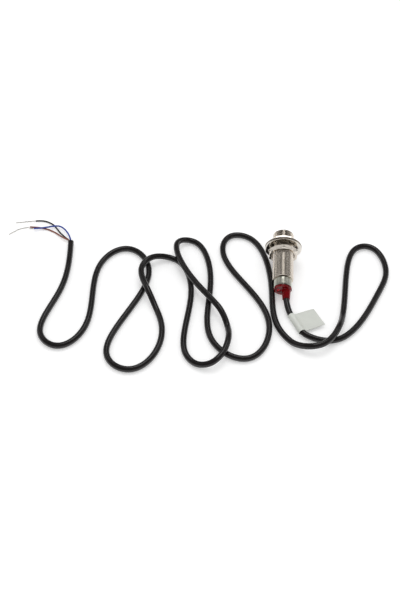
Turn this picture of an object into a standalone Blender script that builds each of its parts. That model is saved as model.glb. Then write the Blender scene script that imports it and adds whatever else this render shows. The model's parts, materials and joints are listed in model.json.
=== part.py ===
"""Cylindrical M18 proximity sensor with a moulded rear cap, two mounting nuts and a moulded-on cable.

The sensor lies on a flat surface on its lock washers and on the rim of its rear cap, so its axis
rises towards the sensing face.  Its pieces are modelled on the axis of an empty, whose local Z runs
from the sensing face towards the cable and whose local Y points up: a piece's Z is then its distance
from the sensing face.  World axes: +X right, +Y the way the sensor looks, +Z up.
"""
import math

import bmesh
import bpy
import numpy as np
from mathutils import Matrix, Vector

MM = 0.001
GAP = 0.3 * MM                       # clearance between neighbouring pieces

# Barrel: M18 x 1 thread, then a plain collar that the cap plugs into
THREAD_R = 8.95 * MM
THREAD_END = 47.5 * MM
COLLAR_R = 7.6 * MM
BARREL_END = 55.0 * MM
LENS_SEAT_R = 7.9 * MM
LENS_SEAT_DEPTH = 3.7 * MM
BORE_R = 6.9 * MM
REAR_BORE_R = 6.4 * MM
REAR_BORE_START = 47.0 * MM

# Nuts and lock washers on the thread
NUT_AF = 24.0 * MM
NUT_T = 4.0 * MM
FRONT_NUT_Z = 8.6 * MM
REAR_NUT_Z = 18.1 * MM
HOLE_R = THREAD_R + GAP
WASHER_R = 16.0 * MM
WASHER_RING_R = 12.6 * MM
WASHER_T = 0.85 * MM
FRONT_WASHER_Z = 12.9 * MM
REAR_WASHER_Z = 14.05 * MM
TOOTH_COUNT = 8
TOOTH_SHARE = 0.56                   # part of each tooth's pitch that is metal

# Optics
LENS_Z, LENS_END = 0.4 * MM, 2.4 * MM
HOLDER_Z, HOLDER_END = 2.7 * MM, 14.0 * MM
HOLDER_R = 6.5 * MM
DIODE_X = 3.15 * MM
DIODE_R = 2.4 * MM

# Circuit board
BOARD_Z, BOARD_END = 14.4 * MM, 46.0 * MM
BOARD_W, BOARD_T = 11.0 * MM, 1.0 * MM

# Rear cap, cable and adjuster
CAP_R = 7.75 * MM
CAP_Z, CAP_END = 55.9 * MM, 57.5 * MM
CAP_EDGE_R = 1.0 * MM
PLUG_Z, PLUG_R = 53.5 * MM, 6.1 * MM
CABLE_X = 2.9 * MM
BOOT_END = 66.3 * MM
BOOT_ROOT_R, BOOT_TIP_R = 3.8 * MM, 3.25 * MM
CABLE_R = 2.6 * MM
CABLE_Z = 50.0 * MM
ADJUSTER_X = -3.4 * MM
ADJUSTER_R = 1.8 * MM
TRIMMER_Z, TRIMMER_END = 48.3 * MM, 52.4 * MM

# Attitude: the plane through the washers' rear edge and the cap's rounded rim is the floor
REAR_RIM_Z = REAR_WASHER_Z + WASHER_T
RIM_REACH = CAP_END - CAP_EDGE_R - REAR_RIM_Z
RIM_DROP = WASHER_R - (CAP_R - CAP_EDGE_R)
TILT = math.acos(CAP_EDGE_R / math.hypot(RIM_DROP, RIM_REACH)) - math.atan2(RIM_REACH, RIM_DROP)
FACE_R = THREAD_R - 0.65 * MM
AXIS_Z = WASHER_R * math.cos(TILT) + REAR_RIM_Z * math.sin(TILT)
AXIS_Y = 0.5 * (BOOT_END * math.cos(TILT) + (BOOT_TIP_R - FACE_R) * math.sin(TILT))

# Cable route on the floor, in millimetres, from the boot to the stripped end: (x, y)
ROUTE = [
    (7, -49), (10.5, -57), (14, -65), (44, -73), (81, -20), (90, 10), (80, 36), (63, 32), (48, -57),
    (24, -85), (-2.8, -63), (-9.8, -11), (-27, 41), (-46, 45), (-53, 29), (-41, -2), (-11.5, -56),
    (-27, -96), (-58, -78), (-62, -10), (-79, 36), (-93, 30), (-73, -21), (-45, -66), (-56, -105),
    (-78, -95), (-78, -25), (-98, 14), (-122, -3), (-100, -66), (-120, -112), (-143, -95),
    (-116, -8), (-137, 24), (-160, 1), (-163, -66), (-183, -91), (-200, -77), (-190, -28),
    (-189, 31),
]
# Stretches that lie on top of an earlier or later strand, in millimetres of cable from the boot
CROSSINGS = [(314, 338), (852, 930), (972, 988), (1162, 1196)]
RAMP = 26.0                          # length of cable that rises onto a crossing, in millimetres
LIFT = 5.6 * MM
LABEL_LIFT = 0.6 * MM                # the label's sleeve holds the cable this far off the floor
SETTLE = 0.8 * MM                    # how gently it comes down from the boot onto the floor
FINE_POINTS = 1600
FIRST_POINTS, LATER_POINTS = 6, 73   # along the tube ahead of the label, and beyond it

LEAST_BEND = 6.0                     # the cable counts as bent at least this much, per metre

LABEL_START, LABEL_END = 16.5 * MM, 36.5 * MM
EASE = 1.0 * MM                      # the cable is straight in its boot and label, and this beyond
LABEL_FLAG = 18.5 * MM
LABEL_T = 0.2 * MM

WIRE_R, STRAND_R = 0.7 * MM, 0.38 * MM
# Stripped cores beyond the jacket, in millimetres: (x, y, z), insulation first, then bare strands
WIRES = {
    "blue": [(-189.6, 32.4, 3.1), (-192.0, 38.8, 2.6), (-196.1, 45.2, 2.4), (-201.4, 49.6, 2.3),
             (-206.2, 49.9, 2.3), (-211.9, 48.4, 2.3), (-218.7, 46.7, 2.3), (-225.0, 45.7, 2.2)],
    "black": [(-190.5, 32.3, 1.5), (-196.6, 38.6, 0.9), (-202.6, 45.6, 0.75), (-207.6, 52.3, 0.75),
              (-213.2, 56.1, 0.75), (-218.2, 57.6, 0.75), (-225.2, 57.3, 0.75)],
    "brown": [(-191.3, 32.0, 3.0), (-198.0, 36.6, 1.9), (-204.0, 42.0, 0.9), (-209.6, 45.4, 0.75),
              (-216.7, 48.0, 0.75), (-223.0, 48.9, 0.75), (-229.1, 49.1, 0.75)],
}
STRANDS = {
    "blue": [(-225.5, 45.65, 2.1), (-229.0, 45.3, 1.9)],
    "black": [(-225.7, 57.25, 0.75), (-233.5, 56.0, 0.5), (-243.0, 54.2, 0.5)],
    "brown": [(-229.6, 48.9, 0.75), (-237.5, 46.4, 0.5), (-241.6, 43.4, 0.5), (-246.6, 38.6, 0.5)],
}

COLOURS = {
    "nickel": ((0.62, 0.58, 0.52), 0.22, 1.0),
    "steel": ((0.60, 0.57, 0.52), 0.25, 1.0),
    "red": ((0.30, 0.004, 0.008), 0.2, 0.0),
    "lens": ((0.03, 0.005, 0.006), 0.1, 0.0),
    "black": ((0.02, 0.018, 0.018), 0.45, 0.0),
    "rubber": ((0.015, 0.015, 0.015), 0.6, 0.0),
    "board": ((0.02, 0.12, 0.05), 0.4, 0.0),
    "chip": ((0.03, 0.03, 0.03), 0.5, 0.0),
    "diode": ((0.5, 0.5, 0.55), 0.1, 0.0),
    "white": ((0.6, 0.62, 0.58), 0.5, 0.0),
    "blue": ((0.01, 0.04, 0.35), 0.4, 0.0),
    "brown": ((0.22, 0.06, 0.035), 0.4, 0.0),
    "tin": ((0.65, 0.63, 0.60), 0.3, 1.0),
}


# ---------------------------------------------------------------- helpers
def empty_scene():
    for thing in list(bpy.data.objects):
        bpy.data.objects.remove(thing, do_unlink=True)


def collection(name):
    made = bpy.data.collections.new(name)
    bpy.context.scene.collection.children.link(made)
    return made


def material(name, key):
    colour, roughness, metallic = COLOURS[key]
    made = bpy.data.materials.new(name)
    made.use_nodes = True
    shader = made.node_tree.nodes["Principled BSDF"]
    shader.inputs["Base Color"].default_value = (*colour, 1.0)
    shader.inputs["Roughness"].default_value = roughness
    shader.inputs["Metallic"].default_value = metallic
    return made


def add(name, data, colour=None, parent=None, location=(0, 0, 0)):
    """An object of this mesh or curve, among the parts if it has a colour, else among the cutters."""
    made = bpy.data.objects.new(name, data)
    made.location = location
    made.parent = parent
    if colour:
        data.materials.append(material(name, colour))
        PARTS.objects.link(made)
    else:
        made.hide_render = True
        made.display_type = "WIRE"
        CUTTERS.objects.link(made)
    return made


def smooth(mesh, angle=35.0):
    mesh.shade_smooth()
    mesh.set_sharp_from_angle(angle=math.radians(angle))


def mesh_from(name, build):
    """A mesh filled by build(bm), with its faces pointing out."""
    bm = bmesh.new()
    build(bm)
    bmesh.ops.recalc_face_normals(bm, faces=bm.faces)
    mesh = bpy.data.meshes.new(name)
    bm.to_mesh(mesh)
    bm.free()
    smooth(mesh)
    return mesh


def turned(name, profile, colour=None, parent=None, location=(0, 0, 0), steps=48):
    """A profile of (radius, z) turned about Z: it runs down the outside, and closes up the bore."""
    bm = bmesh.new()
    corners = [bm.verts.new((r, 0.0, z)) for r, z in profile]
    for low, high in zip(corners, corners[1:]):
        bm.edges.new((low, high))
    if profile[0][0] > 0.0:
        bm.edges.new((corners[-1], corners[0]))
    mesh = bpy.data.meshes.new(name)
    bm.to_mesh(mesh)
    bm.free()
    made = add(name, mesh, colour, parent, location)
    screw = made.modifiers.new("turn", "SCREW")
    screw.steps = screw.render_steps = steps
    screw.use_merge_vertices = True
    screw.merge_threshold = 0.00001
    screw.use_smooth_shade = True
    return made


def cylinder(name, radius, z0, z1, x=0.0, y=0.0, colour=None, parent=None, segments=32):
    """A round bar along the parent's Z, from z0 to z1."""
    def build(bm):
        bmesh.ops.create_cone(bm, cap_ends=True, segments=segments, radius1=radius, radius2=radius,
                              depth=z1 - z0)
    return add(name, mesh_from(name, build), colour, parent, (x, y, 0.5 * (z0 + z1)))


def block(name, size, centre, colour=None, parent=None, bevel=0.0):
    def build(bm):
        bmesh.ops.create_cube(bm, size=1.0, matrix=Matrix.Diagonal((*size, 1.0)))
        if bevel:
            bmesh.ops.bevel(bm, geom=bm.edges[:], offset=bevel, segments=1, affect="EDGES")
    return add(name, mesh_from(name, build), colour, parent, centre)


def cut(target, cutter, operation="DIFFERENCE"):
    change = target.modifiers.new(cutter.name, "BOOLEAN")
    change.operation = operation
    change.object = cutter
    change.solver = "EXACT"


def arc(centre_r, centre_z, radius, start, end, count):
    """Points of (radius, z) round an arc, its angles in degrees from the radial direction."""
    angles = np.radians(np.linspace(start, end, count))
    return [(centre_r + radius * math.cos(t), centre_z + radius * math.sin(t)) for t in angles]


def spline(points, samples):
    """A natural cubic spline through the points, read at equal steps along its length.

    Its knots are centripetal, spaced by the root of each chord, which keeps tight bends round.
    """
    points = np.array(points, float)
    chords = np.linalg.norm(np.diff(points, axis=0), axis=1)
    knots = np.concatenate([[0.0], np.cumsum(np.sqrt(chords))])
    span = np.diff(knots)[:, None]
    slope = np.diff(points, axis=0) / span
    count = len(points)
    system = np.eye(count)
    target = np.zeros_like(points)
    for i in range(1, count - 1):
        system[i, i - 1:i + 2] = span[i - 1, 0], 2 * (span[i - 1, 0] + span[i, 0]), span[i, 0]
        target[i] = 6 * (slope[i] - slope[i - 1])
    bend = np.linalg.solve(system, target)

    def at(t):
        i = np.clip(np.searchsorted(knots, t) - 1, 0, count - 2)
        a, h = (t - knots[i])[:, None], span[i]
        first = slope[i] - h * (2 * bend[i] + bend[i + 1]) / 6
        return points[i] + a * (first + a * (bend[i] / 2 + a * (bend[i + 1] - bend[i]) / (6 * h)))

    fine = at(np.linspace(0.0, knots[-1], 40 * count))
    run = np.concatenate([[0.0], np.cumsum(np.linalg.norm(np.diff(fine, axis=0), axis=1))])
    even = np.linspace(0.0, run[-1], samples)
    return np.stack([np.interp(even, run, fine[:, k]) for k in range(points.shape[1])], axis=1)


def tube(name, points, radius, colour, sides_level=2):
    """A round cord along these points, in world metres."""
    data = bpy.data.curves.new(name, "CURVE")
    data.dimensions = "3D"
    data.bevel_depth = radius
    data.bevel_resolution = sides_level
    data.use_fill_caps = True
    line = data.splines.new("POLY")
    line.points.add(len(points) - 1)
    for point, place in zip(line.points, points):
        point.co = (*place, 1.0)
    made = bpy.data.objects.new(name, data)
    data.materials.append(material(name, colour))
    PARTS.objects.link(made)
    return made


def outline(name, rings, thickness, colour, parent, location=(0, 0, 0)):
    """A flat plate with these closed outlines: the first is its edge, and the others are holes."""
    data = bpy.data.curves.new(name, "CURVE")
    data.dimensions = "2D"
    data.fill_mode = "BOTH"
    data.extrude = 0.5 * thickness
    for ring in rings:
        line = data.splines.new("POLY")
        line.points.add(len(ring) - 1)
        for point, (x, y) in zip(line.points, ring):
            point.co = (x, y, 0.0, 1.0)
        line.use_cyclic_u = True
    flat = bpy.data.objects.new(name + "_outline", data)
    bpy.context.scene.collection.objects.link(flat)
    bpy.context.view_layer.update()
    mesh = bpy.data.meshes.new_from_object(flat.evaluated_get(bpy.context.evaluated_depsgraph_get()))
    bpy.data.objects.remove(flat, do_unlink=True)
    bm = bmesh.new()
    bm.from_mesh(mesh)
    bmesh.ops.remove_doubles(bm, verts=bm.verts, dist=0.000001)
    bmesh.ops.recalc_face_normals(bm, faces=bm.faces)
    bm.to_mesh(mesh)
    bm.free()
    mesh.materials.clear()
    smooth(mesh)
    mesh.name = name
    return add(name, mesh, colour, parent, location)


def circle(radius, count, x=0.0, y=0.0):
    turn = np.linspace(0.0, 2 * math.pi, count, endpoint=False)
    return [(x + radius * math.cos(t), y + radius * math.sin(t)) for t in turn]


# ---------------------------------------------------------------- barrel and hardware
def make_barrel(sensor):
    lead = THREAD_R - FACE_R
    turned("barrel", [
        (COLLAR_R - 0.3 * MM, BARREL_END), (COLLAR_R, BARREL_END - 0.3 * MM),
        (COLLAR_R, THREAD_END), (THREAD_R - 0.5 * MM, THREAD_END),
        (THREAD_R, THREAD_END - 0.5 * MM), (THREAD_R, lead), (FACE_R, 0.0),
        (LENS_SEAT_R, 0.0), (LENS_SEAT_R, LENS_SEAT_DEPTH), (BORE_R, LENS_SEAT_DEPTH),
        (BORE_R, REAR_BORE_START - 0.5 * MM), (REAR_BORE_R, REAR_BORE_START),
        (REAR_BORE_R, BARREL_END),
    ], "nickel", sensor)


def make_nut(name, z0, corner_up, sensor):
    """A thin hexagon nut with its corners turned back on both faces and a chamfered bore."""
    across_corners = NUT_AF / math.cos(math.pi / 6)
    middle, half = z0 + 0.5 * NUT_T, 0.5 * NUT_T

    def build(bm):
        bmesh.ops.create_cone(bm, cap_ends=True, segments=6, radius1=0.5 * across_corners,
                              radius2=0.5 * across_corners, depth=NUT_T)
        turned_by = 0.0 if corner_up else math.pi / 6
        bmesh.ops.rotate(bm, verts=bm.verts, matrix=Matrix.Rotation(turned_by, 3, "Z"))
    nut = add(name, mesh_from(name, build), "nickel", sensor, (0, 0, middle))

    reach, fall = 0.5 * across_corners + MM, math.tan(math.radians(30))
    face_r = 0.5 * NUT_AF - 0.1 * MM
    turn_back = (reach - face_r) * fall
    envelope = turned(name + "_envelope", [
        (0.0, half + GAP), (face_r - GAP / fall, half + GAP), (reach, half - turn_back),
        (reach, turn_back - half), (face_r - GAP / fall, -half - GAP), (0.0, -half - GAP),
    ], None, sensor, (0, 0, middle))
    cut(nut, envelope, "INTERSECT")

    mouth = 0.7 * MM
    bore = turned(name + "_bore", [
        (0.0, half + MM), (HOLE_R + mouth + MM, half + MM), (HOLE_R, half - mouth),
        (HOLE_R, mouth - half), (HOLE_R + mouth + MM, -half - MM), (0.0, -half - MM),
    ], None, sensor, (0, 0, middle))
    cut(nut, bore)
    return nut


def make_lock_washer(name, z0, first_tooth, sensor):
    """A ring with flat teeth that reach in to the thread."""
    inner = []
    pitch = 2 * math.pi / TOOTH_COUNT
    for tooth in range(TOOTH_COUNT):
        middle = first_tooth + tooth * pitch
        half = 0.5 * pitch * TOOTH_SHARE
        for turn in np.linspace(-half, half, 4):
            inner.append((HOLE_R + 0.2 * MM, middle + turn * 0.9))
        for turn in np.linspace(half, pitch - half, 4):
            inner.append((WASHER_RING_R, middle + turn))
    hole = [(r * math.cos(t), r * math.sin(t)) for r, t in inner]
    outline(name, [circle(WASHER_R, 64), hole], WASHER_T, "steel", sensor,
            (0, 0, z0 + 0.5 * WASHER_T))


# ---------------------------------------------------------------- optics and electronics
def make_optics(sensor):
    dome = 0.5 * MM
    turned("front_lens", [
        (0.0, LENS_END), (LENS_SEAT_R - GAP, LENS_END), (LENS_SEAT_R - GAP, LENS_Z + dome),
        (LENS_SEAT_R - GAP - dome, LENS_Z), (0.0, LENS_Z),
    ], "lens", sensor)
    seal_r = 0.35 * MM
    ring = arc(LENS_SEAT_R - GAP - seal_r, LENS_END + GAP + seal_r, seal_r, 90, -240, 12)
    turned("lens_seal", ring, "rubber", sensor)

    holder = cylinder("optics_holder", HOLDER_R, HOLDER_Z, HOLDER_END, colour="black",
                      parent=sensor, segments=40)
    for side, name in ((-1, "emitter_led"), (1, "receiver_photodiode")):
        x = side * DIODE_X
        well = cylinder(name + "_well", DIODE_R + GAP, HOLDER_Z - MM, HOLDER_END + MM, x=x,
                        parent=sensor)
        cut(holder, well)
        top = 12.6 * MM
        dome_z = 7.6 * MM
        profile = [(0.0, top), (DIODE_R, top), (DIODE_R, dome_z)]
        profile += arc(0.0, dome_z, DIODE_R, 0, -90, 7)[1:-1] + [(0.0, dome_z - DIODE_R)]
        turned(name, profile, "diode", sensor, (x, 0, 0), steps=24)


def make_board(sensor):
    middle = 0.5 * (BOARD_Z + BOARD_END)
    block("circuit_board", (BOARD_W, BOARD_T, BOARD_END - BOARD_Z), (0, 0, middle), "board", sensor)
    top = 0.5 * BOARD_T + GAP
    for name, size, x, z in (
        ("sensor_chip", (4.0, 1.5, 5.0), 0.0, 21.0),
        ("output_transistor", (3.0, 1.1, 1.6), 2.2, 29.0),
        ("voltage_regulator", (4.5, 1.5, 2.6), -1.0, 35.5),
    ):
        wide, high, long = (v * MM for v in size)
        block(name, (wide, high, long), (x * MM, top + 0.5 * high, z * MM), "chip", sensor,
              bevel=0.15 * MM)
    can_r, can_h = 2.0 * MM, 4.4 * MM
    can = cylinder("filter_capacitor", can_r, -0.5 * can_h, 0.5 * can_h, colour="tin",
                   parent=sensor, segments=24)
    can.location = (0, -top - 0.5 * can_h, 27.0 * MM)
    can.rotation_euler = (math.pi / 2, 0, 0)


def make_inner_leads(sensor):
    """The three cores' ends, from the cable to their solder joints on the board."""
    radius, height = 0.45 * MM, 1.25 * MM
    start, end = CABLE_Z - GAP, BOARD_END - 3.5 * MM
    for colour, spread in (("blue", -1.3), ("black", 0.0), ("brown", 1.3)):
        path = []
        for share in np.linspace(0.0, 1.0, 7):
            bow = 0.35 * MM * math.sin(math.pi * share)
            x = CABLE_X - 0.3 * MM * share + spread * MM
            path.append(sensor_point(x, height + bow, start + share * (end - start)))
        tube("lead_" + colour, path, radius, colour)


# ---------------------------------------------------------------- rear end
def make_adjuster(sensor):
    block("trimmer_body", (4.5 * MM, 4.5 * MM, TRIMMER_END - TRIMMER_Z),
          (-3.1 * MM, 0, 0.5 * (TRIMMER_Z + TRIMMER_END)), "white", sensor, bevel=0.2 * MM)
    low, high = TRIMMER_END + GAP, CAP_END - 0.6 * MM
    screw = turned("adjuster_screw", [
        (0.0, high), (ADJUSTER_R - 0.2 * MM, high), (ADJUSTER_R, high - 0.2 * MM),
        (ADJUSTER_R, low), (0.0, low),
    ], "tin", sensor, (ADJUSTER_X, 0, 0), steps=32)
    slot = block("adjuster_slot", (6 * MM, 0.6 * MM, 1.8 * MM), (ADJUSTER_X, 0, high), None, sensor)
    cut(screw, slot)


def make_status_led(sensor):
    radius, base, dome_z = 1.5 * MM, 49.6 * MM, 51.7 * MM
    profile = arc(0.0, dome_z, radius, 90, 0, 6)
    profile = [(0.0, dome_z + radius)] + profile[1:] + [(radius, base), (0.0, base)]
    turned("status_led", profile, "diode", sensor, (-0.3 * MM, 4.35 * MM, 0), steps=20)


def make_rear_cap(sensor):
    """One moulding: a plug, a flange with a rounded rim, and the tapered boot round the cable."""
    cap = turned("rear_cap", [(0.0, CAP_END)]
                 + arc(CAP_R - CAP_EDGE_R, CAP_END - CAP_EDGE_R, CAP_EDGE_R, 90, 0, 6)
                 + [(CAP_R, CAP_Z), (PLUG_R, CAP_Z), (PLUG_R, PLUG_Z), (0.0, PLUG_Z)],
                 "red", sensor)
    boot = turned("boot_form", [
        (0.0, BOOT_END), (BOOT_TIP_R - 0.3 * MM, BOOT_END), (BOOT_TIP_R, BOOT_END - 0.3 * MM),
        (BOOT_ROOT_R, CAP_END), (BOOT_ROOT_R, CAP_Z + 0.5 * MM), (0.0, CAP_Z + 0.5 * MM),
    ], None, sensor, (CABLE_X, 0, 0), steps=32)
    cut(cap, boot, "UNION")
    cut(cap, cylinder("cable_hole", CABLE_R + GAP, PLUG_Z - MM, BOOT_END + MM, x=CABLE_X,
                      parent=sensor))
    cut(cap, cylinder("adjuster_hole", ADJUSTER_R + GAP, PLUG_Z - MM, CAP_END + MM, x=ADJUSTER_X,
                      parent=sensor))

    space = CAP_Z - BARREL_END
    inner, outer = REAR_BORE_R + 0.1 * MM, COLLAR_R - 0.4 * MM
    low, high = BARREL_END + 0.28 * space, CAP_Z - 0.28 * space
    turned("rear_gasket", [(outer, high), (outer, low), (inner, low), (inner, high)], "rubber",
           sensor)


def make_cable_clamp(sensor):
    low, high = CABLE_Z + 0.6 * MM, PLUG_Z - 0.6 * MM
    inner, outer = CABLE_R + GAP, CABLE_R + GAP + 0.3 * MM
    turned("cable_clamp", [(outer, high), (outer, low), (inner, low), (inner, high)], "tin", sensor,
           (CABLE_X, 0, 0), steps=32)


# ---------------------------------------------------------------- cable, label and cores
def sensor_point(x, y, z):
    """World place of a point given in the sensor's own axes."""
    return SENSOR_MATRIX @ Vector((x, y, z))


def lift_at(run):
    """How far the cable is raised at this many millimetres from the boot."""
    height = 0.0
    for start, end in CROSSINGS:
        away = max(start - run, run - end, 0.0)
        share = max(0.0, 1.0 - away / RAMP)
        height = max(height, LIFT * share * share * (3 - 2 * share))
    return height


def cable_path():
    """Fine points along the cable, in world metres, and how far each is past the boot."""
    inside = sensor_point(CABLE_X, 0, CABLE_Z)
    leaving = sensor_point(CABLE_X, 0, BOOT_END)
    floor = [(x * MM, y * MM) for x, y in ROUTE]
    plan = spline([inside[:2], leaving[:2]] + floor, FINE_POINTS)
    run = np.linspace(0.0, 1.0, FINE_POINTS) * np.linalg.norm(np.diff(plan, axis=0), axis=1).sum()
    run -= (leaving - inside).xy.length
    path = []
    for (x, y), s in zip(plan, run):
        beyond = (s - LABEL_END - EASE) / (LABEL_END - LABEL_START)
        clear = CABLE_R + LABEL_LIFT * min(1.0, max(0.0, 1.0 - beyond))
        falling = leaving.z - math.tan(TILT) * s
        resting = clear + 0.5 * (falling - clear + math.hypot(falling - clear, SETTLE))
        path.append((x, y, max(CABLE_R, resting) + lift_at(s / MM)))
    return np.array(path), run


def along(path, run, stations):
    return np.array([np.interp(stations, run, path[:, k]) for k in range(3)]).T


def spread(path, run, start, count):
    """Stations from start to the cable's end, closer together the tighter it bends."""
    heading = np.gradient(path, run, axis=0)
    bend = np.linalg.norm(np.gradient(heading, run, axis=0), axis=1)
    bend = np.convolve(np.pad(bend, 8, mode="edge"), np.ones(17) / 17, mode="valid")
    weight = np.cumsum(np.sqrt(bend + LEAST_BEND))
    shares = np.linspace(np.interp(start, run, weight), weight[-1], count)
    return np.interp(shares, weight, run)


def make_cable(path, run):
    held = [sensor_point(CABLE_X, 0, CABLE_Z), sensor_point(CABLE_X, 0, BOOT_END + EASE)]
    stations = np.concatenate([np.linspace(EASE, LABEL_START - EASE, FIRST_POINTS)[1:],
                               spread(path, run, LABEL_END + EASE, LATER_POINTS)])
    tube("cable", held + list(along(path, run, stations)), CABLE_R, "black", sides_level=3)


def make_label(path, run):
    """A label folded round the cable and stuck to itself as a flag, which lies flat to one side."""
    first, last = (Vector(p) for p in along(path, run, [LABEL_START - EASE, LABEL_END + EASE]))
    ahead = (last - first).normalized()
    out = Vector((0, 0, 1)).cross(ahead).normalized()
    frame = bpy.data.objects.new("label_frame", None)
    PARTS.objects.link(frame)
    turn = Matrix((out, ahead.cross(out), ahead)).transposed().to_4x4()
    frame.matrix_world = Matrix.Translation(first.lerp(last, 0.5)) @ turn

    bore = CABLE_R + GAP
    skin = bore + LABEL_T
    edge = math.asin(LABEL_T / skin)
    sleeve = [(skin * math.cos(t), skin * math.sin(t))
              for t in np.linspace(edge, 2 * math.pi - edge, 33)]
    far = skin + LABEL_FLAG
    outside = [(far, LABEL_T)] + sleeve + [(far, -LABEL_T)]
    outline("flag_label", [outside, circle(bore, 32)], LABEL_END - LABEL_START, "white", frame)


def make_cores():
    for colour, places in WIRES.items():
        tube("wire_" + colour, spline(np.array(places) * MM, 18), WIRE_R, colour)
    for colour, places in STRANDS.items():
        tube("strands_" + colour, spline(np.array(places) * MM, 8), STRAND_R, "tin")


empty_scene()
PARTS = collection("proximity_sensor")
CUTTERS = collection("cutters")
SENSOR_MATRIX = Matrix.Translation((0, AXIS_Y, AXIS_Z)) @ Matrix.Rotation(math.pi / 2 + TILT, 4, "X")

sensor_axis = bpy.data.objects.new("sensor_axis", None)
PARTS.objects.link(sensor_axis)
sensor_axis.matrix_world = SENSOR_MATRIX

make_barrel(sensor_axis)
make_nut("front_nut", FRONT_NUT_Z, False, sensor_axis)
make_lock_washer("front_washer", FRONT_WASHER_Z, math.radians(40), sensor_axis)
make_lock_washer("rear_washer", REAR_WASHER_Z, math.radians(37), sensor_axis)
make_nut("rear_nut", REAR_NUT_Z, True, sensor_axis)
make_optics(sensor_axis)
make_board(sensor_axis)
make_inner_leads(sensor_axis)
make_adjuster(sensor_axis)
make_status_led(sensor_axis)
make_rear_cap(sensor_axis)
make_cable_clamp(sensor_axis)
cable, cable_run = cable_path()
make_cable(cable, cable_run)
make_label(cable, cable_run)
make_cores()
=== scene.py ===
"""Looks of a cylindrical M18 proximity sensor: plated barrel with its nuts and lock washers, red rear
cap, and a black three-core cable lying in loose loops.

Hardware is modelled in the sensor's own axes, like the CAD: Z is the distance from the sensing face
towards the cable, Y is up and X is to the right, seen from behind.
"""

import json
import math

import bmesh
import bpy
import numpy as np
from mathutils import Matrix, Vector


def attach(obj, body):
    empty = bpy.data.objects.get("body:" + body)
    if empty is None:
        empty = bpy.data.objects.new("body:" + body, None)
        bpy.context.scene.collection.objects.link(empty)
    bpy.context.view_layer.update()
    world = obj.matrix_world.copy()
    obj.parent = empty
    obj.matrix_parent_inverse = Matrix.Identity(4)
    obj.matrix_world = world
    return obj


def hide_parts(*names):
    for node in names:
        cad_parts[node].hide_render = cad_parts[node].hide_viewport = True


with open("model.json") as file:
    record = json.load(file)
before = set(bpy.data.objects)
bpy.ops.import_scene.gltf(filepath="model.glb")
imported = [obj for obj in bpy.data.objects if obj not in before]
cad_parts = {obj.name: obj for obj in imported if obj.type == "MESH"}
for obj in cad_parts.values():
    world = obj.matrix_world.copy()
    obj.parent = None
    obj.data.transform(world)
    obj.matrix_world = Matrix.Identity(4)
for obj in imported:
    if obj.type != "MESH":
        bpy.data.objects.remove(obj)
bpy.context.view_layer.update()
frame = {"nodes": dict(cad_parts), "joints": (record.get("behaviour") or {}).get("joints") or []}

MM = 0.001
AROUND = 96                          # points round the thread, the nuts and the barrel
CENTRE_R = 0.001 * MM                # a ring this small is welded into one point

# Camera: place, lens in millimetres, turn to the left and tilt down in degrees
CAMERA_PLACE, CAMERA_LENS = (-0.0386, -0.6320, 0.6556), 62.6
CAMERA_TURN, CAMERA_DOWN = 3.0, 47.5

# Barrel and its M18 x 1 thread
THREAD_R = 8.95 * MM
PITCH = 1.0 * MM
THREAD_DEPTH = 0.50 * MM
THREAD_END = 47.5 * MM
FACE_R = 8.3 * MM
COLLAR_R = 7.6 * MM
BARREL_END = 55.0 * MM
LENS_SEAT_R, LENS_SEAT_DEPTH = 7.9 * MM, 3.7 * MM
BORE_R, REAR_BORE_R, REAR_BORE_START = 6.9 * MM, 6.4 * MM, 47.0 * MM
LENS_Z, LENS_END = 0.4 * MM, 2.4 * MM

# Nuts and lock washers
NUT_AF, NUT_T = 24.0 * MM, 4.0 * MM
FRONT_NUT_Z, REAR_NUT_Z = 8.6 * MM, 18.1 * MM
NUT_CLEARANCE = 0.1 * MM
NUT_MOUTH_R = 9.9 * MM
WASHER_R, WASHER_RING_R, WASHER_TOOTH_R = 16.0 * MM, 12.6 * MM, 9.45 * MM
WASHER_T = 0.85 * MM
FRONT_WASHER_Z, REAR_WASHER_Z = 12.9 * MM, 14.05 * MM
TOOTH_COUNT, TOOTH_SHARE = 8, 0.56
TOOTH_TWIST = 0.16 * MM
FRONT_FIRST_TOOTH, REAR_FIRST_TOOTH = math.radians(40), math.radians(37)

# Rear cap, boot and adjuster
CAP_R, CAP_EDGE_R = 7.75 * MM, 1.0 * MM
CAP_Z, CAP_END = 55.9 * MM, 57.5 * MM
PLUG_Z, PLUG_R = 53.5 * MM, 6.1 * MM
CABLE_X, CABLE_R = 2.9 * MM, 2.6 * MM
CABLE_Z, BOOT_END = 50.0 * MM, 66.3 * MM
BOOT_ROOT_R, BOOT_TIP_R = 3.8 * MM, 3.25 * MM
ADJUSTER_X, ADJUSTER_R = -3.4 * MM, 1.8 * MM
ADJUSTER_Z, ADJUSTER_END = 52.7 * MM, 56.9 * MM

# Cable route on the floor, as the CAD has it, in millimetres: (x, y)
ROUTE = [
    (7, -49), (10.5, -57), (14, -65), (44, -73), (81, -20), (90, 10), (80, 36), (63, 32), (48, -57),
    (24, -85), (-2.8, -63), (-9.8, -11), (-27, 41), (-46, 45), (-53, 29), (-41, -2), (-11.5, -56),
    (-27, -96), (-58, -78), (-62, -10), (-79, 36), (-93, 30), (-73, -21), (-45, -66), (-56, -105),
    (-78, -95), (-78, -25), (-98, 14), (-122, -3), (-100, -66), (-120, -112), (-143, -95),
    (-116, -8), (-137, 24), (-160, 1), (-163, -66), (-183, -91), (-200, -77), (-190, -28),
    (-189, 31),
]
# Stretches that lie on top of an earlier or later strand, in millimetres of cable from the boot
CROSSINGS = [(314, 338), (852, 930), (972, 988), (1162, 1196)]
RAMP = 26.0                          # length of cable that rises onto a crossing, in millimetres
LIFT = 5.6 * MM
LABEL_LIFT = 0.6 * MM                # the cable's height off the floor where the label is round it
SETTLE = 0.8 * MM                    # how gently the cable comes down from the boot to the floor
FINE_POINTS = 1600

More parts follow.
